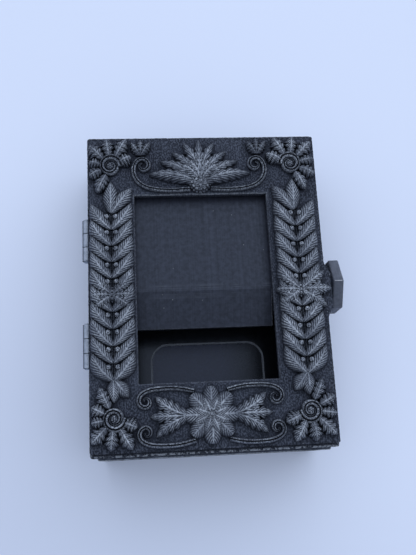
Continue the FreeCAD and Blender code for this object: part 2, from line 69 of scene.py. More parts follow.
# Relief, with the part's own sizes
window_shift = -1.6 * mm
window_half_width = 31.5 * mm
window_half_length = 44.3 * mm
relief_edge_gap = 1.0 * mm
relief_root = 0.4 * mm
leaf_height = 4.6 * mm
stem_radius = 1.6 * mm
scroll_radius = 5.4 * mm
scroll_eye_radius = 2.4 * mm
scroll_leaf_reach = 15.5 * mm
scroll_leaf_width = 8.0 * mm
scroll_leaf_angles = (-65, -28, 9, 46, 83, 120, 157)
scroll_leaf_root_share = 0.86
garland_end_gap = 0.6 * mm
garland_pairs = 10
garland_leaf_angle = 36
garland_leaf_length = 16.0 * mm
garland_leaf_width = 8.2 * mm
berry_radius = 1.15 * mm
berry_aside = 2.1 * mm
berry_ahead = 6.2 * mm
berry_up = 3.1 * mm
tuft_overlap = 1 * mm
knot_place = -4.0 * mm
knot_leaf_width = 7.6 * mm
knot_leaf_angles = (-36, 0, 36)
knot_boss_radius = 3.8 * mm
knot_lift = 0.4 * mm
tab_overlap = 0.3 * mm
crest_leaf_length = 22.0 * mm
crest_leaf_width = 8.2 * mm
crest_boss_radius = 4.6 * mm
crest_drop = 9.1 * mm
crest_leaf_angles = (-80, -60, -40, -20, 0, 20, 40, 60, 80)
crest_leaf_length_shares = (1.12, 0.98, 0.92, 0.98, 1.0, 0.98, 0.92, 0.98, 1.12)
rosette_petals = 8
rosette_petal_length = 12.5 * mm
rosette_petal_width = 9.0 * mm
rosette_boss_radius = 5.0 * mm
spray_leaf_length = 16.5 * mm
spray_leaf_width = 8.2 * mm
spray_start = 10.5 * mm
spray_angles = (-32, 0, 32)

# Small carving between the main sprays. A vine's places are millimetres from the middle of an end margin
top_vine = ((5, -12.2), (12, -12.8), (20, -12.6), (27.5, -10.6), (31.6, -5.8), (31.8, 0.6), (28.4, 4.4),
            (24.4, 2.8), (23.9, -1), (26.6, -2.8), (29.2, -1.2), (28.8, 1.4), (27.2, 1.6))
low_vine = ((7.5, 10.6), (13, 12.3), (20, 12.4), (27, 12.2), (32, 9.6), (32, 5.4), (28.6, 3.6), (26.4, 6),
            (27.6, 8.6), (29.8, 8.2), (29.6, 6.6))
vine_thickness = 0.7
vine_end_thickness = 0.45
vine_end_points = 3
vine_tall = 1.9
scroll_tall = 1.7
sprig_place = Vector((28.0, 5.0)) * mm
sprig_angles = (-34, 0, 34)
sprig_length_share = 0.5
sprig_width_share = 0.6
tuft_angles = (0, 38)
low_tuft_share = 0.65
upper_layer_angles = (-50, -30, -10, 10, 30, 50)
upper_layer_share = 0.62
upper_layer_lift = 0.3 * mm
lower_layer_height = 0.86

left_margin_x = (window_shift - window_half_width + lid_low.x) / 2
right_margin_x = (window_shift + window_half_width + lid_high.x) / 2
end_margin_y = (window_half_length + plate_high.y) / 2

# Shares and counts of the carving
leaf_rows, leaf_columns = 40, 14
vein_count = 9
vein_sweep = 0.30
vein_height_share = 0.045
vein_onset, vein_fade_power = 4, 4
leaf_edge_share = 0.18
leaf_sweep_share = 0.16
leaf_bend_share = 0.30
leaf_half_share = 0.47
leaf_root_share = 0.13
leaf_outline_power = 0.75
leaf_dome_power = 2.4
leaf_least_share = 0.05
leaf_rise_shares = (0.52, 0.44)
leaf_rise_start, leaf_rise_run = 0.04, 0.86
rib_groove_share = 0.20
rib_groove_place, rib_groove_width = 0.2, 0.1
notch_depth_share = 0.24
notch_dip_share = 0.16
notch_dip_onset = 3
notch_power = 1.4
crest_lobes, spray_lobes, fan_lobes = 6, 5, 4
petal_tip_share = 0.9
small_petal_width_share = 0.8
head_segments, head_rings = 32, 16
head_flat_share = 0.74
seed_ring_tilt = 26
seeds_per_ring = 6
seed_share = 0.19
seed_flat_share = 0.8
rosette_head_rings, knot_head_rings, scroll_eye_rings = 3, 2, 1
scroll_turns, scroll_steps = 1.6, 26
scroll_inner_share = 0.74
scroll_start_size, scroll_size_loss = 1.12, 0.5
stem_thickness = (1, 1, 1, 0.8)
tuft_height_share = 0.9
sprig_height_share = 0.8
hand_cut_share = 0.05
hand_cut_beats = (2.4, 1.7)
band_section_shares = ((-1, -0.3), (-1, 0.35), (-0.72, 0.8), (-0.32, 0.98), (0, 0.62), (0.32, 0.98),
                       (0.72, 0.8), (1, 0.35), (1, -0.3))

# Chipped outer edges of the lid
rough_border = 1.2 * mm
rough_pitch = 0.9 * mm
rough_depth = 0.32 * mm
rough_halvings = 8
chip_cloud_size = 1.1 * mm
border_slack = 0.01 * mm

# Rounded edges and shading of the other pieces
merge_distance = 0.002 * mm
band_merge_distance = 0.01 * mm
soft_edge = 0.3 * mm
hinge_edge = 0.12 * mm
sharp_edge_deg = 40
flat_joint_deg = 0.5
smooth_below_deg = 42
panel_smooth_below_deg = 8

# Cross recesses in the screw heads
cross_depth = 0.5 * mm
cross_reach_share = 0.62
cross_width_share = 0.24

# Fold of the card panel, and the dice recess in the drawer, with the part's own sizes
panel_fold_y = -1.2 * mm
recess_floor_level = 8.4 * mm
recess_mouth_level = 9.15 * mm
recess_half_width = 27.65 * mm
recess_half_length = 18.0 * mm
recess_shift = 1.0 * mm
recess_middle_y = -39.5 * mm

# Studio light
room_tint = (0.97, 0.985, 1.0, 1)
room_dim = 0.34
room_bright = 1.21
room_bright_side = (0.12, 0.46, 0.88)
room_fades_over = (-0.3, 1.0)
lamp_power = 15.0
lamp_size = 3.0
lamp_place = (0.8, 1.8, 1.9)

# Lines and grain of the finishes. A range says where a mask starts and is full, and then its two ends
layer_pitch = 0.3 * mm
tray_pitch = 0.4 * mm
panel_pitch = 0.45 * mm
runner_pitch = 0.6 * mm
hinge_line_pitch = 0.35 * mm
metal_line_pitch = 0.18 * mm
bands_per_line = 0.21
line_wave_share = 0.5
line_shade_share = 0.4
line_shade_range = (0.35, 1.05)
even_range = (0.3, 0.7)
mottle_size = 2.2 * mm
mottle_depth = 0.6
gloss_swing = 0.07
layer_depth = 0.012 * mm
line_tint_share = 0.3
metal_depth = 0.006 * mm
metal_cloud_size = 1.6 * mm
metal_tint_share = 0.4
metal_gloss_swing = 0.1
soft_bump = 0.5

# Noise of the finishes, as detail and roughness
plain_noise = (3.0, 0.55)
broad_noise = (2.0, 0.55)
scratched_noise = (4.0, 0.7)
fleck_noise = (3.0, 0.65)
mottle_noise = (5.0, 0.65)
ground_noise = (1.5, 0.5)
tray_noise = (4.0, 0.6)
metal_noise = (4.0, 0.55)
hinge_noise = (5.0, 0.7)

# Rubbed silver on edges, which also stands in for painted edge highlights, a painted ridge highlight, chips
# and dust
edge_range = (0.62, 0.88)
rub_and_highlight_range = (0.38, 0.6, 0.3, 1.0)
fine_rub_and_highlight_size = 0.9 * mm
broad_rub_and_highlight_size = 2.2 * mm
short_rub_and_highlight_reach = 0.5 * mm
long_rub_and_highlight_reach = 0.7 * mm
chip_size = 0.6 * mm
fleck_edge = 0.72
fleck_gain = 0.3
fleck_softness = 0.12
fleck_share = 0.6
fleck_patch_size = 16 * mm
fleck_patch_range = (0.35, 0.65, 0.4, 1.0)
rim_flecks_over = (9 * mm, 1 * mm)
low_fleck_share = 0.12
level_face_range = (0.4, 0.9)
level_fleck_share = 0.2
layer_chip_stretch = (0.22, 0.22, 1)
ridge_over = (0.16 * mm, 0.06 * mm)
ridge_patch_size = 2 * mm
ridge_patch_range = (0.35, 0.55, 0.35, 1.0)
fold_line_pitch = 0.55 * mm
fold_line_range = (0.75, 1.3)
fold_line_share = 0.2
fold_lines_over = (0.5 * mm, 4.5 * mm)
fold_break_size = 12 * mm
fold_break_range = (0.4, 0.6)
speck_spacing = 5 * mm
speck_range = (0.03, 0.06)
specks_left_out = 0.45

# Ground of the lid
ground_row_pitch = 1.1 * mm
ground_row_share = 0.05
ground_stretch = (1.0, 0.65, 1.0)
ground_grain_size = 0.6 * mm
ground_range = (0.42, 0.7)
ground_middle = 0.4
underside_range = (-0.8, -0.4, 0.3, 1.0)
ground_cloud_size = 14 * mm
# Reach of the painted shade in the ground's hollows and next to the relief
ground_shade_reach = 3.2 * mm
ground_tint_share = 0.82
ground_roughness = (0.68, 0.5)
ground_gloss = 0.2
ground_depth = 0.08 * mm
border_chips_over = (-1.3 * mm, -0.5 * mm)
border_chip_share = 0.7
face_chip_stretch = (0.55, 0.8, 1)
rim_chip_stretch = (0.48, 0.48, 1.4)
# Painted highlight along the window's rim, strongest at its far end
window_rim_over = (0.45 * mm, 0.8 * mm)
window_rim_below = (0.9 * mm, 0.5 * mm)
window_highlight_size = 1.4 * mm
window_highlight_range = (0.36, 0.6, 0.05, 0.4)
far_end_share = 0.9
near_end_highlight_share = 0.25

# Silver on the carving
open_range = (0.38, 0.95)
# Reach of the painted shade in the carving's hollows
leaf_shade_reach = 2.6 * mm
leaf_brushed_over = (0.5 * mm, 4.2 * mm)
stem_brushed_over = (0.2 * mm, 2.6 * mm)
bristle_size = 0.55 * mm
bristle_stretch = (1.0, 0.4, 1.0)
bristle_range = (0.34, 0.66, 0.2, 1.0)
brush_patch_size = 9 * mm
brush_patch_range = (0.28, 0.68, 0.4, 1.0)
stipple_size = 0.6 * mm
stipple_range = (0.55, 1.35)
pit_smoothness = 0.6
lump_size_share = 1.25
crest_range = (0.15, 0.85, 0.08, 1.0)
hollow_range = (0.0, 0.9, 0.3, 1.0)
vein_range = (-0.4, 0.9)
vein_share = 0.8
middle_rib_range = (0.05, 0.16)
ridge_tint_share = 0.7
leaf_roughness = (0.66, 0.42)
leaf_gloss = 0.25
leaf_depth = 0.12 * mm

# Drawer tray, hinges and floor
tray_mottle_size = 3 * mm
tray_roughness = (0.20, 0.25)
tray_gloss = 0.4
tray_gloss_swing = 0.05
tray_tint = (0.3, 0.7)
tray_depth = 0.004 * mm
recess_step = 0.3 * mm
# Painted shadow on the tray towards +x
tray_painted_shadow_over = (6 * mm, 24 * mm)
# Painted highlight in a ring along the rim of the dice recess
recess_highlight_over = (1.0 * mm, 1.4 * mm)
recess_highlight_rise = 0.15 * mm
recess_highlight_fall = 0.05 * mm
recess_highlight_share = 0.6
hinge_cloud_size = 2.4 * mm
hinge_cloud_range = (0.35, 0.6)
# Painted shade on the hinges' outer side, and its reach into their hollows
hinge_shaded_side_over = (0.3 * mm, 1.1 * mm)
hinge_shade_reach = 1.6 * mm
hinge_tint_share = 0.25
hinge_roughness = (0.6, 0.4)
hinge_gloss = 0.3
hinge_metal_share = 0.2
floor_cloud_size = 260 * mm
floor_roughness = 0.7
floor_gloss = 0.2

# Directions that print lines are counted along
across_x, across_y, across_z = (1, 0, 0), (0, 1, 0), (0, 0, 1)

# Finishes, as linear colours
# The deepest charcoal is also the painted shade in the lid's hollows and next to the relief
charcoal_deep = (0.007, 0.009, 0.016, 1)
charcoal = (0.016, 0.021, 0.037, 1)
charcoal_light = (0.030, 0.038, 0.064, 1)
ground_dark = (0.007, 0.009, 0.016, 1)
ground_light = (0.054, 0.067, 0.104, 1)
slate_dark = (0.004, 0.005, 0.010, 1)
slate = (0.017, 0.021, 0.038, 1)
knob_dark = (0.056, 0.066, 0.097, 1)
knob_light = (0.098, 0.116, 0.164, 1)
# Rubbed silver, also used for painted highlights on edges and rims
silver_rub_and_highlight = (0.27, 0.32, 0.42, 1)
silver_bright = (0.40, 0.47, 0.60, 1)
# Painted highlight on the knob's top ridge, partly rubbed silver
ridge_rub_and_highlight = (0.60, 0.66, 0.78, 1)
# The deepest relief colour is the dark of the carving's grooves and also the painted shade in its hollows
relief_deep = (0.004, 0.005, 0.009, 1)
relief_mid = (0.050, 0.062, 0.096, 1)
tray_black = (0.002, 0.003, 0.005, 1)
tray_slate = (0.014, 0.018, 0.042, 1)
hinge_grey = (0.33, 0.40, 0.55, 1)
hinge_shadow = (0.22, 0.27, 0.38, 1)
# Painted shade on the hinges' outer side and in their hollows
hinge_painted_shade = (0.07, 0.09, 0.13, 1)
steel_light = (0.50, 0.53, 0.58, 1)
steel_dark = (0.26, 0.28, 0.32, 1)
nickel_light = (0.66, 0.66, 0.68, 1)
nickel_dark = (0.42, 0.42, 0.45, 1)
runner_light = (0.12, 0.125, 0.14, 1)
runner_dark = (0.08, 0.085, 0.095, 1)
speck_pale = (0.13, 0.15, 0.18, 1)
cool_gloss = (0.58, 0.71, 1.0, 1)
floor_pale = (0.60, 0.70, 0.94, 1)
floor_shade = (0.575, 0.672, 0.905, 1)
# Painted shade: the floor darkens towards the bottom left
floor_painted_shade = (0.49, 0.575, 0.785, 1)
floor_painted_shade_towards = (-0.7, -1.0, 0)
floor_painted_shade_over = (-20 * mm, 200 * mm)
floor_size = 40.0


# Selecting, editing and finishing a piece

def only(piece):
    bpy.ops.object.select_all(action="DESELECT")
    piece.select_set(True)
    bpy.context.view_layer.objects.active = piece


def edit(piece, mode="VERT", chosen="DESELECT"):
    only(piece)
    bpy.ops.object.mode_set(mode="EDIT")
    bpy.ops.mesh.select_mode(type=mode)
    bpy.ops.mesh.select_all(action=chosen)


def done():
    bpy.ops.object.mode_set(mode="OBJECT")


def pick_edges(piece, wanted):
    bpy.ops.mesh.select_all(action="DESELECT")
    done()
    for line in piece.data.edges:
        line.select = wanted(line)
    bpy.ops.object.mode_set(mode="EDIT")


def modify(piece, kind, **settings):
    only(piece)
    step = piece.modifiers.new(kind.title(), kind)
    for name, value in settings.items():
        setattr(step, name, value)
    bpy.ops.object.modifier_apply(modifier=step.name)


def join(pieces, name):
    bpy.ops.object.select_all(action="DESELECT")
    for piece in pieces:
        piece.select_set(True)
    bpy.context.view_layer.objects.active = pieces[0]
    bpy.ops.object.transform_apply(location=True, rotation=True, scale=True)
    if len(pieces) > 1:
        bpy.ops.object.join()
    pieces[0].name = name
    return pieces[0]


def fresh(add_shape, **settings):
    bpy.ops.object.select_all(action="DESELECT")
    add_shape(**settings)
    return bpy.context.object


def linked(name, data):
    piece = bpy.data.objects.new(name, data)
    bpy.context.scene.collection.objects.link(piece)
    return piece


def planted(pattern, x, y, turn_deg, stretch=(1, 1, 1), lift=0.0):
    piece = linked(pattern.name, pattern.data.copy())
    piece.location = (x, y, face_top + lift)
    piece.rotation_euler.z = math.radians(turn_deg)
    piece.scale = stretch
    return piece


def put_away(*patterns):
    for pattern in patterns:
        bpy.data.objects.remove(pattern)


def paint(piece, material):
    piece.data.materials.clear()
    piece.data.materials.append(material)


def seat(piece, body, node, smooth_deg=smooth_below_deg):
    only(piece)
    bpy.ops.object.shade_smooth_by_angle(angle=math.radians(smooth_deg))
    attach(piece, body)
    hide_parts(node)


def copy_of(node, name):
    piece = linked(name, frame["nodes"][node].data.copy())
    edit(piece, chosen="SELECT")
    bpy.ops.mesh.customdata_custom_splitnormals_clear()
    bpy.ops.mesh.remove_doubles(threshold=merge_distance)
    done()
    return piece


# Shader building

def add(tree, kind, settings=(), **inputs):
    made = tree.nodes.new("ShaderNode" + kind)
    for name, value in dict(settings).items():
        setattr(made, name, value)
    fill(tree, made, **inputs)
    return made


def fill(tree, made, **inputs):
    for name, value in inputs.items():
        feed(tree, made.inputs[name.replace("_", " ")], value)


def feed(tree, socket, value):
    if isinstance(value, bpy.types.NodeSocket):
        tree.links.new(value, socket)
    else:
        socket.default_value = value


def sums(tree, operation, *values):
    made = add(tree, "Math", {"operation": operation})
    for socket, value in zip(made.inputs, values):
        feed(tree, socket, value)
    return made.outputs[0]


def product(tree, *values):
    whole = values[0]
    for value in values[1:]:
        whole = sums(tree, "MULTIPLY", whole, value)
    return whole


def mixture(tree, first, share, second):
    return sums(tree, "MULTIPLY_ADD", first, share, product(tree, second, 1 - share))


def spread(tree, value, low, high, to_low=0.0, to_high=1.0):
    made = add(tree, "MapRange", {"interpolation_type": "SMOOTHSTEP"}, Value=value, From_Min=low,
               From_Max=high, To_Min=to_low, To_Max=to_high)
    return made.outputs["Result"]


def fade(tree, value, low, high):
    return spread(tree, value, low, high, 1.0, 0.0)


def blend_colours(tree, share, first, second):
    made = add(tree, "Mix", {"data_type": "RGBA"}, Factor=share)
    for socket, colour in zip(made.inputs[6:8], (first, second)):
        feed(tree, socket, colour)
    return made.outputs[2]


def per(tree, size):
    return sums(tree, "DIVIDE", 1.0, size) if isinstance(size, bpy.types.NodeSocket) else 1 / size


def grain(tree, place, size, noise=plain_noise):
    detail, rough = noise
    made = add(tree, "TexNoise", Vector=place, Scale=per(tree, size), Detail=detail, Roughness=rough)
    return made.outputs["Fac"]


def object_place(tree):
    return add(tree, "TexCoord").outputs["Object"]


def measures(tree, place):
    return add(tree, "SeparateXYZ", Vector=place).outputs


def stretched(tree, place, scale):
    return add(tree, "Mapping", Vector=place, Scale=scale).outputs["Vector"]


def looks_up(tree):
    return measures(tree, add(tree, "TexCoord").outputs["Normal"])["Z"]


def along_line(tree, place, line):
    made = add(tree, "VectorMath", {"operation": "DOT_PRODUCT"})
    feed(tree, made.inputs[0], place)
    feed(tree, made.inputs[1], line)
    return made.outputs["Value"]


def new_group(name, build, **inputs):
    tree = bpy.data.node_groups.new(name, "ShaderNodeTree")
    for label, kind in inputs.items():
        tree.interface.new_socket(label, in_out="INPUT", socket_type="NodeSocket" + kind)
    results = build(tree, tree.nodes.new("NodeGroupInput").outputs)
    for label in results:
        tree.interface.new_socket(label, in_out="OUTPUT", socket_type="NodeSocketFloat")
    fill(tree, tree.nodes.new("NodeGroupOutput"), **results)
    return tree


def use(tree, group, **inputs):
    return add(tree, "Group", {"node_tree": group}, **inputs).outputs


def print_line_nodes(tree, given):
    layers = sums(tree, "DIVIDE", along_line(tree, object_place(tree), given["Across"]), given["Pitch"])
    wave = sums(tree, "SINE", product(tree, layers, 2 * math.pi))
    layer = add(tree, "TexWhiteNoise", {"noise_dimensions": "1D"},
                W=sums(tree, "FLOOR", layers)).outputs["Value"]
    band = add(tree, "TexNoise", {"noise_dimensions": "1D"}, W=product(tree, layers, bands_per_line),
               Scale=1.0).outputs["Fac"]
    mixed = sums(tree, "MULTIPLY_ADD", layer, line_shade_share, band)
    return {"Height": sums(tree, "MULTIPLY_ADD", wave, line_wave_share, layer),
            "Shade": spread(tree, mixed, *line_shade_range)}


def stipple_nodes(tree, given):
    place = object_place(tree)
    pits = add(tree, "TexVoronoi", {"feature": "SMOOTH_F1"}, Vector=place, Scale=per(tree, given["Size"]),
               Smoothness=pit_smoothness).outputs["Distance"]
    lumps = grain(tree, place, product(tree, given["Size"], lump_size_share), scratched_noise)
    return {"Shade": spread(tree, sums(tree, "ADD", pits, lumps), *stipple_range)}


def dry_brush_nodes(tree, given):
    place = object_place(tree)
    raised = spread(tree, measures(tree, place)["Z"], given["Low"], given["High"])
    bristle = stretched(tree, place, bristle_stretch)
    strokes = spread(tree, grain(tree, bristle, bristle_size, scratched_noise), *bristle_range)
    patches = spread(tree, grain(tree, place, brush_patch_size, broad_noise), *brush_patch_range)
    return {"Mask": product(tree, raised, strokes, patches)}


# Rubbed silver on convex edges; the same mask also paints the edges' highlights
def edge_wear_nodes(tree, given):
    inward = add(tree, "AmbientOcclusion", {"samples": 16, "inside": True, "only_local": True},
                 Distance=given["Reach"]).outputs["AO"]
    patchy_marks = spread(tree, grain(tree, object_place(tree), given["Grain"], scratched_noise), *rub_and_highlight_range)
    return {"Mask": product(tree, fade(tree, inward, *edge_range), patchy_marks)}


# Painted shade: how open each point is to its surroundings, low in hollows and next to raised parts
def hollow_shade_nodes(tree, given):
    around = add(tree, "AmbientOcclusion", {"samples": 8}, Distance=given["Reach"]).outputs["AO"]
    return {"Open": spread(tree, around, *open_range)}


def fleck_nodes(tree, given):
    dots = grain(tree, stretched(tree, object_place(tree), given["Stretch"]), given["Size"], fleck_noise)
    edge = sums(tree, "SUBTRACT", fleck_edge, product(tree, given["Amount"], fleck_gain))
    return {"Mask": spread(tree, dots, edge, sums(tree, "ADD", edge, fleck_softness))}


def dust_speck_nodes(tree, given):
    cells = add(tree, "TexVoronoi", Vector=object_place(tree), Scale=per(tree, given["Spacing"])).outputs
    draw = add(tree, "SeparateColor", Color=cells["Color"]).outputs["Red"]
    kept = sums(tree, "GREATER_THAN", draw, specks_left_out)
    return {"Mask": product(tree, fade(tree, cells["Distance"], *speck_range), kept)}


print_lines = new_group("print lines", print_line_nodes, Across="Vector", Pitch="Float")
stipple = new_group("stipple", stipple_nodes, Size="Float")
dry_brush = new_group("dry brush", dry_brush_nodes, Low="Float", High="Float")
edge_wear = new_group("edge wear", edge_wear_nodes, Grain="Float", Reach="Float")
hollow_shade = new_group("hollow_shade", hollow_shade_nodes, Reach="Float")
flecks = new_group("flecks", fleck_nodes, Size="Float", Amount="Float", Stretch="Vector")
dust_specks = new_group("dust specks", dust_speck_nodes, Spacing="Float")


def new_finish(name, build, *values, **settings):
    material = bpy.data.materials.new(name)
    material.use_nodes = True
    tree = material.node_tree
    build(tree, tree.nodes["Principled BSDF"], *values, **settings)
    return material


def bump(tree, height, depth, strength=1.0):
    return add(tree, "Bump", Strength=strength, Distance=depth, Height=height).outputs["Normal"]


def plastic_look(tree, shader, gloss, colour, dull, normal):
    fill(tree, shader, Base_Color=colour, Roughness=dull, Specular_IOR_Level=gloss,
         Specular_Tint=cool_gloss, Normal=normal)


# The edges get rubbed silver, which also serves as painted edge highlights
def printed_plastic(tree, shader, across, pitch, deep, light, wear=0.6, fleck_amount=0.0, gloss=0.3,
                    smooth=0.5, wear_grain=fine_rub_and_highlight_size, wear_reach=short_rub_and_highlight_reach, ridge_z=None,
                    fold_y=None):
    lines = use(tree, print_lines, Across=across, Pitch=pitch)
    place = object_place(tree)
    mottle = spread(tree, grain(tree, place, mottle_size, mottle_noise), *even_range)
    shade = mixture(tree, lines["Shade"], line_tint_share, mottle)
    colour = blend_colours(tree, shade, deep, light)
    if fleck_amount:
        colour = blend_colours(tree, rim_flecks(tree, place, fleck_amount), colour, silver_rub_and_highlight)
    if fold_y is not None:
        colour = blend_colours(tree, fold_lines(tree, place, fold_y), colour, silver_rub_and_highlight)
        dust = use(tree, dust_specks, Spacing=speck_spacing)["Mask"]
        colour = blend_colours(tree, dust, colour, speck_pale)
    # Rubbed silver on the edges, partly painted edge highlights
    worn = product(tree, use(tree, edge_wear, Grain=wear_grain, Reach=wear_reach)["Mask"], wear)
    colour = blend_colours(tree, worn, colour, silver_rub_and_highlight)
    # Painted highlight along the knob's top ridge, partly rubbed silver
    if ridge_z is not None:
        colour = blend_colours(tree, rubbed_and_highlighted_ridge(tree, place, ridge_z), colour, ridge_rub_and_highlight)
    dull = spread(tree, shade, 0.0, 1.0, smooth + gloss_swing, smooth - gloss_swing)
    surface = sums(tree, "MULTIPLY_ADD", mottle, mottle_depth, lines["Height"])
    plastic_look(tree, shader, gloss, colour, dull, bump(tree, surface, layer_depth, soft_bump))


def rim_flecks(tree, place, amount):
    below, near = rim_flecks_over
    near_rim = spread(tree, measures(tree, place)["Z"], case_high.z - below, case_high.z - near,
                      low_fleck_share, 1.0)
    upright = spread(tree, looks_up(tree), *level_face_range, 1.0, level_fleck_share)
    patches = spread(tree, grain(tree, place, fleck_patch_size, broad_noise), *fleck_patch_range)
    chips = use(tree, flecks, Size=chip_size, Amount=amount, Stretch=layer_chip_stretch)["Mask"]
    return product(tree, chips, near_rim, patches, upright, fleck_share)


def fold_lines(tree, place, fold_y):
    from_fold = sums(tree, "SUBTRACT", measures(tree, place)["Y"], fold_y)
    near_fold = fade(tree, sums(tree, "ABSOLUTE", from_fold), *fold_lines_over)
    steps = use(tree, print_lines, Across=across_y, Pitch=fold_line_pitch)["Height"]
    broken = spread(tree, grain(tree, place, fold_break_size), *fold_break_range)
    return product(tree, near_fold, spread(tree, steps, *fold_line_range), broken, fold_line_share)


# Painted highlight along the knob's top ridge, partly rubbed silver
def rubbed_and_highlighted_ridge(tree, place, ridge_z):
    below, near = ridge_over
    patchy = spread(tree, grain(tree, place, ridge_patch_size), *ridge_patch_range)
    return product(tree, spread(tree, measures(tree, place)["Z"], ridge_z - below, ridge_z - near), patchy)


def off_rectangle(tree, place, centre_x, half_x, half_y):
    across = measures(tree, place)
    off_centre = sums(tree, "ABSOLUTE", sums(tree, "SUBTRACT", across["X"], centre_x))
    from_x = sums(tree, "SUBTRACT", off_centre, half_x)
    from_y = sums(tree, "SUBTRACT", sums(tree, "ABSOLUTE", across["Y"]), half_y)
    return sums(tree, "MAXIMUM", from_x, from_y)


def stippled_ground(tree, shader, half_x, half_y, border_amount, chip_stretch, rim_worn):
    place = object_place(tree)
    rows = use(tree, print_lines, Across=across_x, Pitch=ground_row_pitch)["Height"]
    dots = grain(tree, stretched(tree, place, ground_stretch), ground_grain_size, ground_noise)
    grains = spread(tree, sums(tree, "MULTIPLY_ADD", rows, ground_row_share, dots), *ground_range)
    depth = spread(tree, looks_up(tree), *underside_range)
    fine = sums(tree, "MULTIPLY_ADD", sums(tree, "SUBTRACT", grains, ground_middle), depth, ground_middle)
    clouds = spread(tree, grain(tree, place, ground_cloud_size), *even_range)
    shade = mixture(tree, fine, ground_tint_share, clouds)
    plain = blend_colours(tree, shade, ground_dark, ground_light)
    # Painted shade darkens the ground in its hollows and next to the relief
    shaded_in_hollows = blend_colours(tree, use(tree, hollow_shade, Reach=ground_shade_reach)["Open"], charcoal_deep, plain)
    border = spread(tree, off_rectangle(tree, place, 0.0, half_x, half_y), *border_chips_over)
    chips = use(tree, flecks, Size=chip_size, Amount=border_amount, Stretch=chip_stretch)["Mask"]
    worn = product(tree, chips, border, border_chip_share)
    # Painted highlight along the window's rim
    if rim_worn:
        worn = sums(tree, "MAXIMUM", worn, window_rim_highlight(tree, place))
    colour = blend_colours(tree, worn, shaded_in_hollows, silver_rub_and_highlight)
    dull = spread(tree, fine, 0.0, 1.0, *ground_roughness)
    plastic_look(tree, shader, ground_gloss, colour, dull, bump(tree, fine, ground_depth))


# Painted highlight along the window's rim, strongest at its far end
def window_rim_highlight(tree, place):
    below, near = window_rim_below
    across = measures(tree, place)
    past_window = off_rectangle(tree, place, window_shift, window_half_width, window_half_length)
    on_rim = product(tree, fade(tree, past_window, *window_rim_over),
                     spread(tree, across["Z"], face_top - below, face_top - near))
    patchy_marks = spread(tree, grain(tree, place, window_highlight_size, scratched_noise), *window_highlight_range)
    far_end = spread(tree, across["Y"], far_end_share * window_half_length, window_half_length,
                     near_end_highlight_share, 1.0)
    return product(tree, on_rim, patchy_marks, far_end)


def silvered_leaf(tree, shader, veined, low, high):
    brushed = use(tree, dry_brush, Low=face_top + low, High=face_top + high)["Mask"]
    dots = use(tree, stipple, Size=stipple_size)["Shade"]
    # Painted shade darkens the carving's hollows and keeps the silver off them
    open_air = use(tree, hollow_shade, Reach=leaf_shade_reach)["Open"]
    relief = mixture(tree, leaf_ridges(tree), ridge_tint_share, dots) if veined else dots
    crests = product(tree, spread(tree, relief, *crest_range), open_air)
    worn = product(tree, brushed, crests)
    shade = product(tree, spread(tree, relief, *hollow_range), open_air)
    plain = blend_colours(tree, shade, relief_deep, relief_mid)
    colour = blend_colours(tree, worn, plain, silver_bright)
    dull = spread(tree, worn, 0.0, 1.0, *leaf_roughness)
    plastic_look(tree, shader, leaf_gloss, colour, dull, bump(tree, relief, leaf_depth))


def leaf_ridges(tree):
    flat = measures(tree, add(tree, "UVMap").outputs["UV"])
    aside = product(tree, sums(tree, "ABSOLUTE", sums(tree, "SUBTRACT", flat["Y"], 0.5)), 2.0)
    swept = sums(tree, "MULTIPLY_ADD", aside, -vein_sweep, flat["X"])
    waves = sums(tree, "SINE", product(tree, swept, 2 * math.pi * vein_count))
    veins = product(tree, spread(tree, waves, *vein_range), vein_share)
    return sums(tree, "MAXIMUM", veins, fade(tree, aside, *middle_rib_range))


def tray_plastic(tree, shader):
    place = object_place(tree)
    across = measures(tree, place)
    in_recess = fade(tree, across["Z"], recess_floor_level - recess_step, recess_floor_level)
    # Painted shadow: the tray darkens to near black towards +x. The recess floor takes the slate tone and the
    # rest of the tray is near black.
    outside_painted_shadow = fade(tree, across["X"], *tray_painted_shadow_over)
    mottle = spread(tree, grain(tree, place, tray_mottle_size, tray_noise), *even_range)
    lines = use(tree, print_lines, Across=across_x, Pitch=tray_pitch)
    shade = product(tree, sums(tree, "MULTIPLY_ADD", mottle, *tray_tint), in_recess, outside_painted_shadow)
    plain = blend_colours(tree, shade, tray_black, tray_slate)
    # Rubbed silver on the edges, partly painted edge highlights
    rubbed_and_highlighted = use(tree, edge_wear, Grain=fine_rub_and_highlight_size, Reach=long_rub_and_highlight_reach)["Mask"]
    # Rubbed edges with painted edge highlights, and the painted highlight around the recess's rim
    worn = sums(tree, "MAXIMUM", rubbed_and_highlighted, product(tree, recess_mouth(tree, place, across["Z"]), recess_highlight_share))
    colour = blend_colours(tree, worn, plain, silver_rub_and_highlight)
    level = spread(tree, in_recess, 0.0, 1.0, *tray_roughness)
    dull = sums(tree, "MULTIPLY_ADD", mottle, tray_gloss_swing, level)
    plastic_look(tree, shader, tray_gloss, colour, dull, bump(tree, lines["Shade"], tray_depth, soft_bump))


# Painted highlight: a ring along the rim of the dice recess
def recess_mouth(tree, place, height):
    from_middle = add(tree, "Mapping", Vector=place, Location=(0, -recess_middle_y, 0)).outputs["Vector"]
    past_recess = off_rectangle(tree, from_middle, recess_shift, recess_half_width, recess_half_length)
    above_floor = spread(tree, height, recess_floor_level, recess_floor_level + recess_highlight_rise)
    below_land = fade(tree, height, recess_mouth_level, recess_mouth_level + recess_highlight_fall)
    return product(tree, fade(tree, past_recess, *recess_highlight_over), above_floor, below_land)


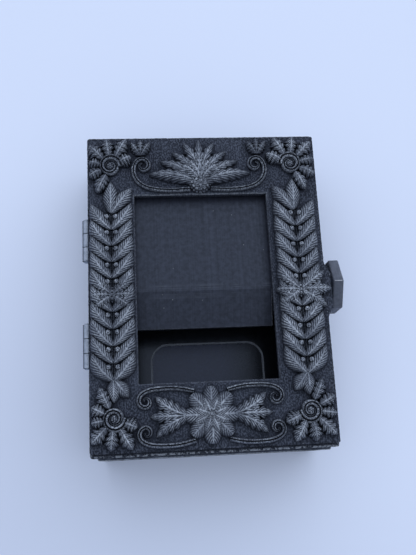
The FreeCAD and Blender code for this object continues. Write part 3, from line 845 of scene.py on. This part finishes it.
def brushed_metal(tree, shader, dark, light, roughness):
    lines = use(tree, print_lines, Across=across_x, Pitch=metal_line_pitch)
    clouds = spread(tree, grain(tree, object_place(tree), metal_cloud_size, metal_noise), *even_range)
    shade = mixture(tree, lines["Shade"], metal_tint_share, clouds)
    dull = spread(tree, clouds, 0.0, 1.0, roughness + metal_gloss_swing, roughness - metal_gloss_swing)
    fill(tree, shader, Base_Color=blend_colours(tree, shade, dark, light), Roughness=dull, Metallic=1.0,
         Normal=bump(tree, lines["Height"], metal_depth, soft_bump))


def painted_hinge(tree, shader):
    place = object_place(tree)
    lines = use(tree, print_lines, Across=across_y, Pitch=hinge_line_pitch)
    clouds = spread(tree, grain(tree, place, hinge_cloud_size, hinge_noise), *hinge_cloud_range)
    shade = mixture(tree, lines["Shade"], hinge_tint_share, clouds)
    plain = blend_colours(tree, shade, hinge_shadow, hinge_grey)
    # Painted shade: the hinges darken along their outer side and in their hollows
    near, far = hinge_shaded_side_over
    off_shaded_side = spread(tree, measures(tree, place)["X"], hinge_low.x + near, hinge_low.x + far)
    out_of_painted_shade = product(tree, off_shaded_side, use(tree, hollow_shade, Reach=hinge_shade_reach)["Open"])
    fill(tree, shader, Base_Color=blend_colours(tree, out_of_painted_shade, hinge_painted_shade, plain),
         Roughness=spread(tree, shade, 0.0, 1.0, *hinge_roughness), Metallic=hinge_metal_share,
         Specular_IOR_Level=hinge_gloss, Normal=bump(tree, lines["Height"], layer_depth))


def pale_floor(tree, shader):
    place = object_place(tree)
    plain = blend_colours(tree, grain(tree, place, floor_cloud_size, broad_noise), floor_shade, floor_pale)
    # Painted shade: the floor darkens towards the bottom left
    painted_shade_share = spread(tree, along_line(tree, place, floor_painted_shade_towards), *floor_painted_shade_over)
    fill(tree, shader, Base_Color=blend_colours(tree, painted_shade_share, plain, floor_painted_shade), Roughness=floor_roughness,
         Specular_IOR_Level=floor_gloss)


face_finish = new_finish("stippled lid plastic", stippled_ground, lid_high.x, plate_high.y,
                         border_amount=0.35, chip_stretch=face_chip_stretch, rim_worn=True)
rim_finish = new_finish("flecked rim plastic", stippled_ground, lid_high.x, lid_high.y,
                        border_amount=0.92, chip_stretch=rim_chip_stretch, rim_worn=False)
leaf_finish = new_finish("silvered leaf", silvered_leaf, True, *leaf_brushed_over)
stem_finish = new_finish("silvered stem", silvered_leaf, False, *stem_brushed_over)
case_finish = new_finish("layered case plastic", printed_plastic, across_z, layer_pitch, charcoal_deep,
                         charcoal_light, wear=1.0, wear_grain=broad_rub_and_highlight_size, wear_reach=long_rub_and_highlight_reach,
                         fleck_amount=0.85)
front_finish = new_finish("layered front plastic", printed_plastic, across_z, layer_pitch, charcoal_deep,
                          charcoal, wear=0.7, fleck_amount=0.5)
tray_finish = new_finish("glossy tray plastic", tray_plastic)
panel_finish = new_finish("smooth panel plastic", printed_plastic, across_x, panel_pitch, slate_dark, slate,
                          wear=0.45, gloss=0.45, smooth=0.42, fold_y=panel_fold_y)
# The knob gets rubbed edges and a painted highlight along its top ridge
knob_finish = new_finish("rubbed knob plastic", printed_plastic, across_x, layer_pitch, knob_dark, knob_light,
                         wear=0.25, ridge_z=knob_high.z)
runner_finish = new_finish("runner plastic", printed_plastic, across_x, runner_pitch, runner_dark,
                           runner_light)
hinge_finish = new_finish("grey hinge", painted_hinge)
screw_finish = new_finish("screw steel", brushed_metal, steel_dark, steel_light, roughness=0.38)
magnet_finish = new_finish("nickel magnet", brushed_metal, nickel_dark, nickel_light, roughness=0.25)


# Relief patterns, each lying along X with its root at the origin

def cut_leaf(name, length, width, lobes=0, tip_share=0.0, bend=0):
    leaf = fresh(bpy.ops.mesh.primitive_grid_add, size=2, x_subdivisions=leaf_rows,
                 y_subdivisions=leaf_columns)
    leaf.name = name
    for point in leaf.data.vertices:
        along = (point.co.x + 1) / 2
        ahead, aside, up = leaf_point(along, point.co.y, length, width, lobes, tip_share)
        point.co = (ahead, aside + bend * leaf_bend_share * length * along * (along - 1), up)
    edit(leaf, "EDGE")
    bpy.ops.mesh.select_non_manifold()
    bpy.ops.mesh.extrude_region_move()
    bpy.ops.transform.resize(value=(1, 1, 0), center_override=(0, 0, 0))
    bpy.ops.transform.translate(value=(0, 0, -relief_root))
    done()
    modify(leaf, "SUBSURF", levels=1, render_levels=1)
    edit(leaf, "EDGE")
    bpy.ops.mesh.select_non_manifold()
    bpy.ops.mesh.edge_face_add()
    bpy.ops.mesh.select_all(action="SELECT")
    bpy.ops.mesh.normals_make_consistent(inside=False)
    done()
    paint(leaf, leaf_finish)
    return leaf


def leaf_point(along, across, length, width, lobes, tip_share):
    aside = abs(across)
    notch = (1 - abs(math.sin(math.pi * lobes * along))) ** notch_power if lobes else 0.0
    run = 1 - leaf_root_share - leaf_root_share * tip_share
    outline = math.sin(math.pi * (leaf_root_share + run * along)) ** leaf_outline_power
    half = leaf_half_share * width * outline * (1 - notch_depth_share * notch)
    low, swell = leaf_rise_shares
    rise = leaf_height * (low + swell * math.sin(math.pi * (leaf_rise_start + leaf_rise_run * along)))
    dome = leaf_edge_share + (1 - leaf_edge_share) * (1 - aside ** leaf_dome_power)
    groove = rib_groove_share * math.exp(-((aside - rib_groove_place) / rib_groove_width) ** 2)
    wave = math.sin(2 * math.pi * vein_count * (along - vein_sweep * aside))
    vein = vein_height_share * wave * min(1.0, vein_onset * aside) * (1 - aside ** vein_fade_power)
    dip = notch_dip_share * notch * min(1.0, notch_dip_onset * aside)
    ahead = length * along + leaf_sweep_share * length * aside * outline * (1 - along)
    return ahead, half * across, rise * max(leaf_least_share, dome - groove + vein - dip)


def seed_head(name, radius, rings):
    dome = fresh(bpy.ops.mesh.primitive_uv_sphere_add, radius=radius, segments=head_segments,
                 ring_count=head_rings)
    edit(dome, chosen="SELECT")
    bpy.ops.transform.resize(value=(1, 1, head_flat_share))
    bpy.ops.mesh.bisect(plane_co=(0, 0, -relief_root), plane_no=(0, 0, 1), use_fill=True, clear_inner=True)
    done()
    pieces = [dome]
    for ring in range(rings + 1):
        tilt = math.radians(seed_ring_tilt * ring)
        count = max(1, seeds_per_ring * ring)
        for index in range(count):
            turn = 2 * math.pi * (index + 0.5 * (ring % 2)) / count
            height = head_flat_share * radius * math.cos(tilt)
            pieces.append(seed(radius * math.sin(tilt), turn, height, radius * seed_share))
    head = join(pieces, name)
    paint(head, stem_finish)
    return head


def seed(reach, turn, height, radius):
    piece = fresh(bpy.ops.mesh.primitive_ico_sphere_add, subdivisions=2, radius=radius)
    edit(piece, chosen="SELECT")
    bpy.ops.transform.resize(value=(1, 1, seed_flat_share))
    bpy.ops.transform.translate(value=(reach * math.cos(turn), reach * math.sin(turn), height))
    done()
    return piece


def fluted_section(name):
    curve = bpy.data.curves.new(name, "CURVE")
    line = curve.splines.new("POLY")
    line.points.add(len(band_section_shares) - 1)
    for point, (aside, up) in zip(line.points, band_section_shares):
        point.co = (aside * stem_radius, up * stem_radius, 0, 1)
    line.use_cyclic_u = True
    return linked(name, curve)


def fluted_band(name, points, thickness, tall=1.0):
    section = fluted_section(name + "_section")
    curve = bpy.data.curves.new(name, "CURVE")
    curve.dimensions = "3D"
    curve.twist_mode = "Z_UP"
    curve.bevel_mode = "OBJECT"
    curve.bevel_object = section
    curve.use_fill_caps = True
    line = curve.splines.new("NURBS")
    line.points.add(len(points) - 1)
    for point, place, size in zip(line.points, points, thickness):
        point.co = (*place, 0, 1)
        point.radius = size
    line.order_u = 4
    line.use_endpoint_u = True
    line.resolution_u = 3
    band = linked(name, curve)
    only(band)
    bpy.ops.object.convert(target="MESH")
    bpy.data.objects.remove(section)
    edit(band, chosen="SELECT")
    bpy.ops.mesh.remove_doubles(threshold=band_merge_distance)
    bpy.ops.transform.resize(value=(1, 1, tall), center_override=(0, 0, 0))
    bpy.ops.mesh.normals_make_consistent(inside=False)
    done()
    paint(band, stem_finish)
    return band


def scroll_points():
    points, sizes = [], []
    for step in range(scroll_steps + 1):
        share = step / scroll_steps
        turn = 2 * math.pi * scroll_turns * share
        reach = scroll_radius * (1 - scroll_inner_share * share)
        points.append((reach * math.cos(turn), reach * math.sin(turn)))
        sizes.append(scroll_start_size - scroll_size_loss * share)
    return points, sizes


def bent_leaves(name, length, width, lobes=0):
    return {bend: cut_leaf(name, length, width, lobes, bend=bend) for bend in (-1, 0, 1)}


laurel_leaf = bent_leaves("laurel_leaf", garland_leaf_length, garland_leaf_width)
crest_leaf = bent_leaves("crest_leaf", crest_leaf_length, crest_leaf_width, crest_lobes)
spray_leaf = bent_leaves("spray_leaf", spray_leaf_length, spray_leaf_width, spray_lobes)
fan_leaf = cut_leaf("fan_leaf", scroll_leaf_reach, scroll_leaf_width, fan_lobes)
petal = cut_leaf("petal", rosette_petal_length, rosette_petal_width, tip_share=petal_tip_share)
rosette_head = seed_head("rosette_head", rosette_boss_radius, rosette_head_rings)
crest_head = seed_head("crest_head", crest_boss_radius, rosette_head_rings)
scroll_eye = seed_head("scroll_eye", scroll_eye_radius, scroll_eye_rings)
knot_head = seed_head("knot_head", knot_boss_radius, knot_head_rings)
berry = seed(0, 0, 0, berry_radius)
paint(berry, stem_finish)


def hand_cut(index):
    width_beat, height_beat = hand_cut_beats
    wider = hand_cut_share * math.sin(width_beat * index)
    lower = hand_cut_share * (0.5 + 0.5 * math.sin(height_beat * index + 1))
    return 1, 1 + wider, 1 - lower


def sign_of(value):
    return (value > 0) - (value < 0)


def seat_relief(pieces, name, node):
    seat(join(pieces, name), "lid", node)


def relief_garland(side, x):
    end = end_margin_y - scroll_leaf_reach - garland_end_gap
    room = 2 * end - garland_leaf_length
    top = -end + room + garland_leaf_length / 2
    stem = fluted_band("stem", [(0, -end), (0, -end / 3), (0, end / 3), (0, top)], stem_thickness)
    stem.location = (x, 0, face_top)
    pieces = [stem]
    for index in range(garland_pairs):
        y = -end + room * index / (garland_pairs - 1)
        for sign in (-1, 1):
            facing = 90 + sign * garland_leaf_angle
            pieces.append(planted(laurel_leaf[-sign], x, y, facing, hand_cut(index + sign)))
            pieces.append(planted(berry, x + sign * berry_aside, y + berry_ahead, 0, lift=berry_up))
    inward = sign_of(x)
    for angle in tuft_angles:
        pieces.append(planted(laurel_leaf[0], x, top, 90 + inward * angle, (1, 1, tuft_height_share)))
        pieces.append(planted(laurel_leaf[0], x, tuft_overlap - end, -90 - inward * angle,
                              (low_tuft_share, tuft_height_share, tuft_height_share)))
    outer = plate_high.x + tab_overlap if x > 0 else lid_low.x
    inner = window_shift + math.copysign(window_half_width, x)
    for reach in (outer, inner):
        facing = 0 if reach > x else 180
        share = (abs(reach - x) - relief_edge_gap) / crest_leaf_length
        stretch = (share, knot_leaf_width / crest_leaf_width, 1)
        for angle in knot_leaf_angles:
            pieces.append(planted(crest_leaf[0], x, knot_place, facing + angle, stretch, knot_lift))
    pieces.append(planted(knot_head, x, knot_place, 0))
    seat_relief(pieces, "laurel_garland_" + side, "garland_" + side)


def relief_corner(end, sign_y, side, sign_x):
    x = right_margin_x if sign_x > 0 else left_margin_x
    y = sign_y * end_margin_y
    room_x = lid_high.x - relief_edge_gap - abs(x)
    room_y = plate_high.y - relief_edge_gap - abs(y)
    root = scroll_radius * scroll_leaf_root_share
    pieces = []
    for index, angle in enumerate(scroll_leaf_angles):
        turn = math.radians(angle)
        ahead = Vector((math.cos(turn), math.sin(turn)))
        reach = min(scroll_leaf_reach, room_x / abs(ahead.x), room_y / abs(ahead.y))
        facing = math.degrees(math.atan2(sign_y * ahead.y, sign_x * ahead.x))
        stretch = hand_cut(index)
        pieces.append(planted(fan_leaf, x + sign_x * ahead.x * root, y + sign_y * ahead.y * root, facing,
                              ((reach - root) / scroll_leaf_reach, stretch[1], stretch[2])))
    points, sizes = scroll_points()
    points = [(-sign_x * ahead, sign_y * aside) for ahead, aside in points]
    band = fluted_band("scroll", points, sizes, scroll_tall)
    band.location = (x, y, face_top)
    pieces.append(band)
    pieces.append(planted(scroll_eye, x, y, 0))
    name = end + "_" + side
    seat_relief(pieces, "corner_leaves_" + name, "corner_scroll_" + name)


def vine(points, sign_x, sign_y, y):
    places = [(sign_x * across * mm, sign_y * up * mm) for across, up in points]
    sizes = [vine_thickness] * (len(points) - vine_end_points) + [vine_end_thickness] * vine_end_points
    band = fluted_band("vine", places, sizes, vine_tall)
    band.location = (window_shift, y, face_top)
    return band


def relief_crest():
    y = end_margin_y - crest_drop
    pieces = []
    for index, (angle, share) in enumerate(zip(crest_leaf_angles, crest_leaf_length_shares)):
        stretch = (share, hand_cut(index)[1], lower_layer_height)
        pieces.append(planted(crest_leaf[-sign_of(angle)], window_shift, y, 90 - angle, stretch))
    for index, angle in enumerate(upper_layer_angles):
        stretch = (upper_layer_share, hand_cut(index)[1], hand_cut(index)[2])
        pieces.append(planted(crest_leaf[-sign_of(angle)], window_shift, y, 90 - angle, stretch,
                              upper_layer_lift))
    pieces.append(planted(crest_head, window_shift, y, 0))
    for sign in (-1, 1):
        pieces.append(vine(top_vine, sign, 1, end_margin_y))
        sprig_x = window_shift + sign * sprig_place.x
        stretch = (sprig_length_share, sprig_width_share, sprig_height_share)
        for angle in sprig_angles:
            pieces.append(planted(spray_leaf[0], sprig_x, end_margin_y + sprig_place.y, 90 + angle, stretch))
    seat_relief(pieces, "crest_leaves", "crest_top")


def relief_rosette():
    y = -end_margin_y
    pieces = []
    for index in range(rosette_petals):
        turn = 360 * index / rosette_petals
        stretch = hand_cut(index)
        pieces.append(planted(petal, window_shift, y, turn, (stretch[0], stretch[1], lower_layer_height)))
        half_turn = turn + 180 / rosette_petals
        pieces.append(planted(petal, window_shift, y, half_turn,
                              (upper_layer_share, small_petal_width_share, stretch[2]), upper_layer_lift))
    for sign in (-1, 1):
        for angle in spray_angles:
            facing = angle if sign > 0 else 180 - angle
            bend = sign * sign_of(angle)
            x = window_shift + sign * spray_start
            pieces.append(planted(spray_leaf[bend], x, y, facing, hand_cut(angle)))
        for sign_y in (-1, 1):
            pieces.append(vine(low_vine, sign, sign_y, y))
    pieces.append(planted(rosette_head, window_shift, y, 0))
    seat_relief(pieces, "rosette_leaves", "rosette_bottom")


relief_crest()
relief_rosette()
for side, x in (("left", left_margin_x), ("right", right_margin_x)):
    relief_garland(side, x)
for side, sign_x in (("left", -1), ("right", 1)):
    for end, sign_y in (("bottom", -1), ("top", 1)):
        relief_corner(end, sign_y, side, sign_x)
put_away(*laurel_leaf.values(), *crest_leaf.values(), *spray_leaf.values(), fan_leaf, petal, rosette_head,
         crest_head, scroll_eye, knot_head, berry)


# Plates and boxes: copies of the solids with rubbed or roughened edges

def fit(piece, node, body, finish, smooth_deg=smooth_below_deg):
    paint(piece, finish)
    seat(piece, body, node, smooth_deg)
    modify(piece, "WEIGHTED_NORMAL", mode="FACE_AREA", keep_sharp=True)


def soft_edged(node, name, body, finish, width=soft_edge, smooth_deg=smooth_below_deg):
    piece = copy_of(node, name)
    edit(piece, chosen="SELECT")
    bpy.ops.mesh.dissolve_limited(angle_limit=math.radians(flat_joint_deg))
    done()
    modify(piece, "BEVEL", width=width, segments=2, limit_method="ANGLE",
           angle_limit=math.radians(sharp_edge_deg), use_clamp_overlap=True)
    fit(piece, node, body, finish, smooth_deg)


def rough_edged(node, name, finish, low, high):
    on_edge = in_border(low, high)
    piece = copy_of(node, name)
    edit(piece)
    for place, normal in border_cuts(low, high):
        bpy.ops.mesh.select_all(action="SELECT")
        bpy.ops.mesh.bisect(plane_co=place, plane_no=normal)
    bpy.ops.mesh.select_mode(type="EDGE")
    points = piece.data.vertices

    def too_long(line):
        first, second = (points[index].co for index in line.vertices)
        return on_edge(first) and on_edge(second) and (first - second).length > rough_pitch

    for _ in range(rough_halvings):
        pick_edges(piece, too_long)
        bpy.ops.mesh.subdivide(number_cuts=1)
    done()
    group = piece.vertex_groups.new(name="edge")
    group.add([point.index for point in piece.data.vertices if on_edge(point.co)], 1.0, "ADD")
    chips = bpy.data.textures.new("chips", "CLOUDS")
    chips.noise_scale = chip_cloud_size
    modify(piece, "DISPLACE", texture=chips, texture_coords="LOCAL", vertex_group="edge", mid_level=1.0,
           strength=rough_depth)
    piece.vertex_groups.clear()
    fit(piece, node, "lid", finish)


def border_cuts(low, high):
    reach = rough_border
    return [((low.x + reach, 0, 0), across_x), ((high.x - reach, 0, 0), across_x),
            ((0, low.y + reach, 0), across_y), ((0, high.y - reach, 0), across_y)]


def in_border(low, high):
    reach = rough_border + border_slack
    return lambda point: (point.x < low.x + reach or point.x > high.x - reach
                          or point.y < low.y + reach or point.y > high.y - reach)


def crossed_screws(node, body, facing):
    name = node.replace("screw", "cross_screw")
    edit(copy_of(node, name))
    bpy.ops.mesh.separate(type="LOOSE")
    done()
    screws = list(bpy.context.selected_objects)
    for screw in screws:
        cut_cross(screw, Vector(facing))
    piece = join(screws, name)
    paint(piece, screw_finish)
    seat(piece, body, node)


def cut_cross(screw, facing):
    corners = [point.co for point in screw.data.vertices]
    top = max(corner.dot(facing) for corner in corners)
    head = [corner for corner in corners if corner.dot(facing) > top - cross_depth]
    centre = sum(head, Vector()) / len(head)
    centre += facing * (top - centre.dot(facing))
    radius = max((corner - centre).length for corner in head)
    across = Vector((0, 1, 0))
    for ahead in (across, facing.cross(across)):
        size = [2 * cross_depth * abs(facing[axis]) + cross_reach_share * 2 * radius * abs(ahead[axis])
                + cross_width_share * radius * abs(facing.cross(ahead)[axis]) for axis in range(3)]
        bar = fresh(bpy.ops.mesh.primitive_cube_add, size=1, location=centre)
        edit(bar, chosen="SELECT")
        bpy.ops.transform.resize(value=size, center_override=centre)
        done()
        modify(screw, "BOOLEAN", operation="DIFFERENCE", object=bar, solver="EXACT")
        bpy.data.objects.remove(bar)


tab_root = Vector((lid_high.x, plate_high.y, plate_high.z))
rough_edged("face_plate", "lid_face", face_finish, plate_low, tab_root)
rough_edged("lid_frame", "lid_rim", rim_finish, lid_low, lid_high)
soft_edged("case_shell", "case_box", "case", case_finish)
soft_edged("card_panel", "card_back", "lid", panel_finish,
           smooth_deg=panel_smooth_below_deg)
soft_edged("drawer_tray", "tray", "drawer", tray_finish)
soft_edged("drawer_front", "drawer_face", "drawer", front_finish)
soft_edged("drawer_knob", "six_sided_pull", "drawer", knob_finish)
for level in ("upper", "lower"):
    soft_edged(level + "_hinge_case_leaf", level + "_case_leaf", "case", hinge_finish, hinge_edge)
    soft_edged(level + "_hinge_lid_leaf", level + "_lid_leaf", "lid", hinge_finish, hinge_edge)


crossed_screws("hinge_case_screws", "case", (-1, 0, 0))
crossed_screws("hinge_lid_screws", "lid", (0, 0, -1))
crossed_screws("panel_screws", "lid", (0, 0, -1))
crossed_screws("drawer_front_screws", "drawer", (-1, 0, 0))
crossed_screws("knob_screw", "drawer", (-1, 0, 0))


# Finishes of the solids that stay as they are
slot_finishes = {"magnet": magnet_finish, "steel": screw_finish, "runner_plastic": runner_finish,
                 "case_plastic": case_finish, "drawer_plastic": tray_finish, "lid_plastic": rim_finish,
                 "relief_plastic": stem_finish, "panel_plastic": panel_finish, "knob_plastic": knob_finish}
for row in frame["record"]["subparts"]:
    paint(frame["nodes"][row["node"]], slot_finishes[row["material_slot"]])
for level in ("upper", "lower"):
    paint(frame["nodes"][level + "_hinge_pin"], hinge_finish)


# Studio

def lay_floor():
    floor = fresh(bpy.ops.mesh.primitive_plane_add, size=floor_size)
    floor.name = "pale_floor"
    paint(floor, new_finish("pale floor", pale_floor))


def hang_lamp():
    bpy.ops.object.light_add(type="AREA", location=lamp_place)
    lamp = bpy.context.object
    lamp.name = "window light"
    lamp.data.shape = "SQUARE"
    lamp.data.size = lamp_size
    lamp.data.energy = lamp_power
    lamp.rotation_euler = (-Vector(lamp_place)).to_track_quat("-Z", "Y").to_euler()


def set_camera():
    turns = [math.radians(turn) for turn in camera_turn_deg]
    bpy.ops.object.camera_add(location=camera_place, rotation=turns)
    camera = bpy.context.object
    camera.data.sensor_width = sensor_long_side
    camera.data.lens = focal_length_px * sensor_long_side / photo_long_side_px
    camera.data.clip_start = camera_near
    bpy.context.scene.camera = camera


def light_room():
    world = bpy.data.worlds.new("soft room")
    world.use_nodes = True
    bpy.context.scene.world = world
    tree = world.node_tree
    sky = tree.nodes["Background"]
    sky.inputs["Color"].default_value = room_tint
    facing = along_line(tree, add(tree, "TexCoord").outputs["Generated"], room_bright_side)
    feed(tree, sky.inputs["Strength"], spread(tree, facing, *room_fades_over, room_dim, room_bright))


lay_floor()
hang_lamp()
light_room()
set_camera()
bpy.context.scene.view_settings.view_transform = "Standard"
